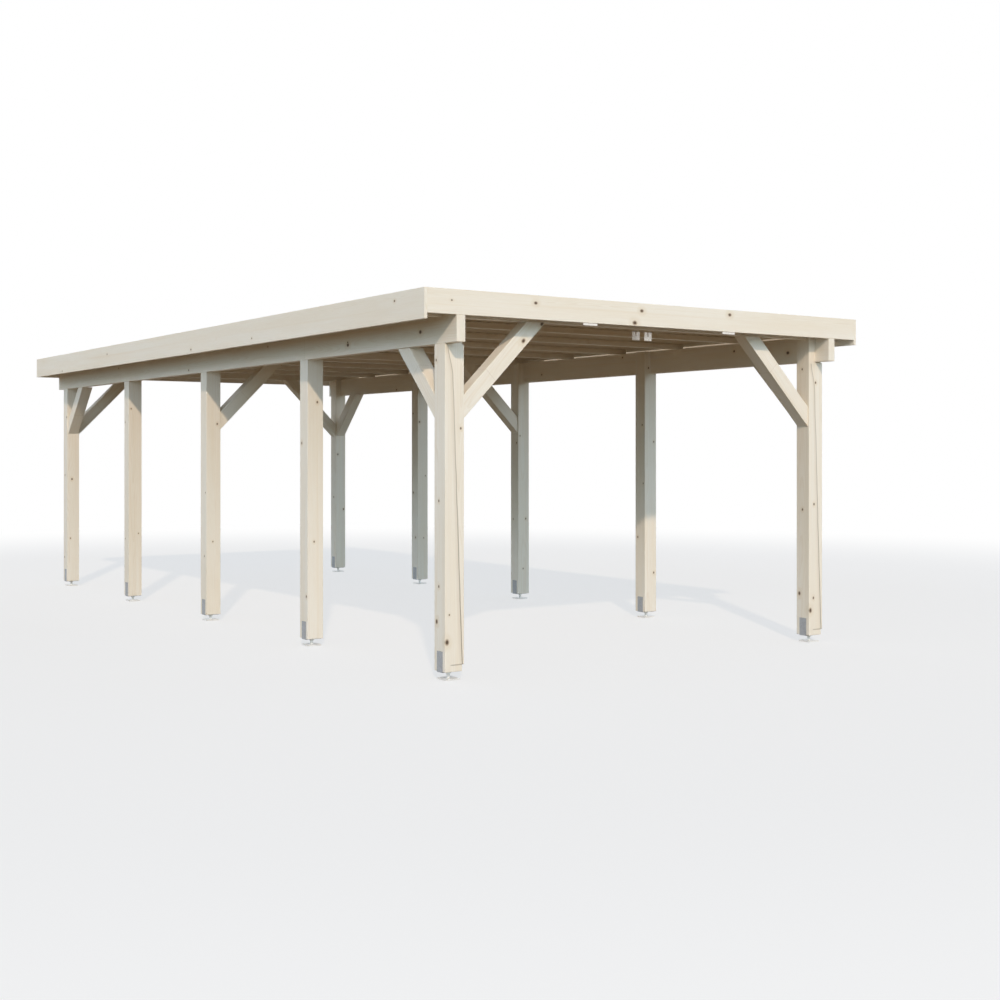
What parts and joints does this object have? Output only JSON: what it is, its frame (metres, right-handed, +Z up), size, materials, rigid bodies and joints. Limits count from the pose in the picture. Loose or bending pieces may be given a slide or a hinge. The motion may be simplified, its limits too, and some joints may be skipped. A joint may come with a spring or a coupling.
{
  "type": "carport",
  "caption": "Open timber carport with a flat roof on two rows of braced posts, standing on adjustable steel feet.",
  "frame": {"origin": "on the ground under the middle of the roof", "axes": "front faces -Y, +X is to the right of someone facing +Y, +Z up"},
  "size_m": [3.6, 7.65, 2.3],
  "materials": {
    "timber": "matte whitewash over sawn and planed spruce",
    "zinc": "hot-dip galvanised",
    "roof_sheet": "sand-coloured, slightly glossy"
  },
  "bodies": {
    "root": {"post_left_1": "timber", "post_left_2": "timber", "post_left_3": "timber", "post_left_4": "timber", "post_left_5": "timber", "post_right_1": "timber", "post_right_2": "timber", "post_right_3": "timber", "post_right_4": "timber", "post_right_5": "timber", "post_foot_left_1": "zinc", "post_foot_left_2": "zinc", "post_foot_left_3": "zinc", "post_foot_left_4": "zinc", "post_foot_left_5": "zinc", "post_foot_right_1": "zinc", "post_foot_right_2": "zinc", "post_foot_right_3": "zinc", "post_foot_right_4": "zinc", "post_foot_right_5": "zinc", "beam_left": "timber", "beam_right": "timber", "brace_cross_left_1": "timber", "brace_cross_left_3": "timber", "brace_cross_left_5": "timber", "brace_cross_right_1": "timber", "brace_cross_right_3": "timber", "brace_cross_right_5": "timber", "brace_side_left_1": "timber", "brace_side_left_5": "timber", "brace_side_right_1": "timber", "brace_side_right_5": "timber", "rafter_front": "timber", "rafter_middle": "timber", "rafter_rear": "timber", "rafters_front_half": "timber", "rafters_rear_half": "timber", "edge_board_left": "timber", "edge_board_right": "timber", "edge_board_front": "timber", "edge_board_rear": "timber", "roof_sheet_1": "roof_sheet", "roof_sheet_2": "roof_sheet", "roof_sheet_3": "roof_sheet", "joint_plates": "zinc"}
  },
  "joints": []
}
